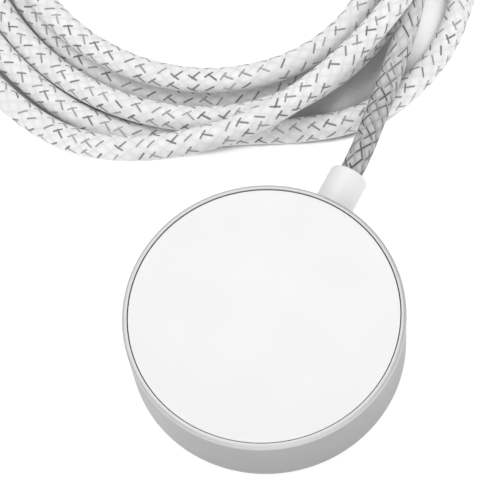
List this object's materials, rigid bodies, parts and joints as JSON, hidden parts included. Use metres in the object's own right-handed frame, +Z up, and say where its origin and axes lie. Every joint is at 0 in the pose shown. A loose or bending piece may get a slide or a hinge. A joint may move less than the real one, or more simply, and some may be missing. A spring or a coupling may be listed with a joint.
{
  "type": "magnetic watch charging puck",
  "caption": "Round aluminium magnetic charging puck for a watch, with a dished white face, a collar, a coiled braided cable and a USB-C plug.",
  "frame": {"origin": "centre of the puck's flat bottom face", "axes": "+Z up through the charging face, +Y along the cable where it leaves the puck's wall"},
  "size_m": [0.0852, 0.1032, 0.0088],
  "materials": {
    "satin_aluminium": "satin",
    "white_face": "smooth satin",
    "white_plastic": "fine matte",
    "braid": "woven, grey tracer threads",
    "steel": "brushed",
    "magnet_nickel": "plated",
    "ferrite": "matt sintered",
    "copper": "enamelled wire",
    "gold_contact": "plated",
    "board": "solder mask",
    "chip_black": "moulded",
    "black_plastic": "moulded",
    "grey_rubber": "soft",
    "amber_film": "film",
    "ceramic": "ceramic",
    "wire_red": "insulation",
    "wire_green": "insulation",
    "adhesive": "tape"
  },
  "bodies": {
    "charger": {"case_shell": "satin_aluminium", "charging_face": "white_face", "face_adhesive": "adhesive", "insulating_film": "amber_film", "board_spacer": "black_plastic", "circuit_board": "board", "magnet_yoke": "steel", "centre_magnet": "magnet_nickel", "coil_carrier": "black_plastic", "ferrite_shield": "ferrite", "coil_former": "white_plastic", "coil_winding": "copper", "coil_leads": "copper", "control_chip": "chip_black", "board_crystal": "steel", "board_capacitors": "ceramic", "power_chips": "chip_black", "thermal_pads": "grey_rubber", "board_inductor": "ferrite", "cable_collar": "white_plastic", "collar_retainer": "steel", "cable_core": "grey_rubber", "crimp_ferrule": "steel", "power_wires": "wire_red", "data_wires": "wire_green", "solder_pads": "steel", "cable_lead": "braid", "cable_coil": "braid", "cable_tail": "braid", "plug_collar": "white_plastic", "plug_housing": "white_plastic", "plug_bezel": "white_plastic", "plug_shell": "steel", "plug_insert": "black_plastic", "plug_contacts_upper": "gold_contact", "plug_contacts_lower": "gold_contact", "plug_board": "board", "plug_chip": "chip_black", "plug_can": "steel", "plug_core": "grey_rubber", "plug_ferrule": "steel", "plug_wires": "wire_red"},
    "latch_left": {"plug_latch_left": "steel"},
    "latch_right": {"plug_latch_right": "steel"}
  },
  "joints": [
    {"name": "latch_left_spring", "type": "hinge", "parent": "charger", "child": "latch_left", "pos_m": [-0.06105, 0.08, 0.0031], "axis": [0, 0, 1], "range_deg": [0, 1.2], "stiffness_Nm_per_rad": 2.5},
    {"name": "latch_right_spring", "type": "hinge", "parent": "charger", "child": "latch_right", "pos_m": [-0.06105, 0.0868, 0.0031], "axis": [0, 0, -1], "range_deg": [0, 1.2], "stiffness_Nm_per_rad": 2.5}
  ]
}
